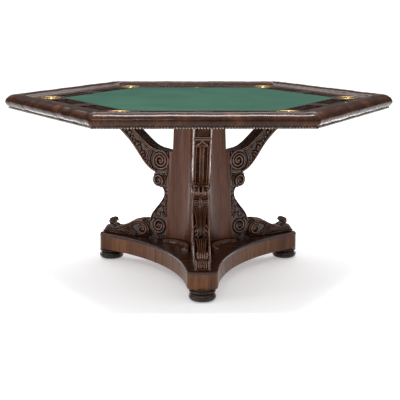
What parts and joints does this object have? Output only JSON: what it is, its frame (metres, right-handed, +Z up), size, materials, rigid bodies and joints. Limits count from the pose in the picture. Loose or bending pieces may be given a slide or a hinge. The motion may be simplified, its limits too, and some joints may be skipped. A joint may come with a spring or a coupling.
{
  "type": "gaming table",
  "caption": "Hexagonal gaming table with a padded leather rail, cloth playing surface, chip trays and drink cups on a carved three-legged pedestal.",
  "frame": {"origin": "on the floor, on the axis of the pedestal", "axes": "+Z up, +X to a corner of the top on the right, the front leg and a straight side of the top face -Y"},
  "size_m": [1.6606, 1.438, 0.768],
  "materials": {
    "mahogany_veneer": "polished, dark red-brown",
    "carved_wood": "antiqued polish, dark in the hollows",
    "dark_turned_wood": "polished",
    "frame_wood": "plain board, out of sight",
    "rail_leather": "antiqued glossy leather",
    "baize": "matte wool cloth",
    "brass": "polished",
    "antique_brass": "aged",
    "steel": "zinc plated",
    "glide_plastic": "hard"
  },
  "bodies": {
    "table": {"plinth_base": "mahogany_veneer", "plinth_top_board": "mahogany_veneer", "bun_foot_front": "dark_turned_wood", "bracket_stile_front": "mahogany_veneer", "arm_front": "carved_wood", "leg_scroll_front": "carved_wood", "plinth_scroll_front": "carved_wood", "top_bearer_front": "frame_wood", "bun_foot_right": "dark_turned_wood", "bracket_stile_right": "mahogany_veneer", "arm_right": "carved_wood", "leg_scroll_right": "carved_wood", "plinth_scroll_right": "carved_wood", "top_bearer_right": "frame_wood", "bun_foot_left": "dark_turned_wood", "bracket_stile_left": "mahogany_veneer", "arm_left": "carved_wood", "leg_scroll_left": "carved_wood", "plinth_scroll_left": "carved_wood", "top_bearer_left": "frame_wood", "foot_glides": "glide_plastic", "foot_studs": "frame_wood", "column_panel_right": "mahogany_veneer", "column_panel_rear": "mahogany_veneer", "column_panel_left": "mahogany_veneer", "bead_mouldings": "carved_wood", "column_cap_plate": "frame_wood", "tie_rod": "steel", "tie_nuts_and_washers": "steel", "bearer_screws": "steel", "substrate": "frame_wood", "border_front": "mahogany_veneer", "chip_trays_front": "mahogany_veneer", "rail_pad_front": "rail_leather", "border_front_right": "mahogany_veneer", "chip_trays_front_right": "mahogany_veneer", "rail_pad_front_right": "rail_leather", "border_rear_right": "mahogany_veneer", "chip_trays_rear_right": "mahogany_veneer", "rail_pad_rear_right": "rail_leather", "border_rear": "mahogany_veneer", "chip_trays_rear": "mahogany_veneer", "rail_pad_rear": "rail_leather", "border_rear_left": "mahogany_veneer", "chip_trays_rear_left": "mahogany_veneer", "rail_pad_rear_left": "rail_leather", "border_front_left": "mahogany_veneer", "chip_trays_front_left": "mahogany_veneer", "rail_pad_front_left": "rail_leather", "rail_frame": "frame_wood", "nail_trim": "antique_brass"},
    "cup_right": {"drink_cup_right": "brass"},
    "cup_rear_right": {"drink_cup_rear_right": "brass"},
    "cup_rear_left": {"drink_cup_rear_left": "brass"},
    "cup_left": {"drink_cup_left": "brass"},
    "cup_front_left": {"drink_cup_front_left": "brass"},
    "cup_front_right": {"drink_cup_front_right": "brass"},
    "playing_panel": {"playing_board": "frame_wood", "playing_cloth": "baize", "finger_pull": "brass"}
  },
  "joints": [
    {"name": "cup_right_lift", "type": "slide", "parent": "table", "child": "cup_right", "axis": [0, 0, 1], "range_m": [0, 0.1]},
    {"name": "cup_rear_right_lift", "type": "slide", "parent": "table", "child": "cup_rear_right", "axis": [0, 0, 1], "range_m": [0, 0.1]},
    {"name": "cup_rear_left_lift", "type": "slide", "parent": "table", "child": "cup_rear_left", "axis": [0, 0, 1], "range_m": [0, 0.1]},
    {"name": "cup_left_lift", "type": "slide", "parent": "table", "child": "cup_left", "axis": [0, 0, 1], "range_m": [0, 0.1]},
    {"name": "cup_front_left_lift", "type": "slide", "parent": "table", "child": "cup_front_left", "axis": [0, 0, 1], "range_m": [0, 0.1]},
    {"name": "cup_front_right_lift", "type": "slide", "parent": "table", "child": "cup_front_right", "axis": [0, 0, 1], "range_m": [0, 0.1]},
    {"name": "playing_panel_lift", "type": "slide", "parent": "table", "child": "playing_panel", "axis": [0, 0, 1], "range_m": [0, 0.1]}
  ]
}
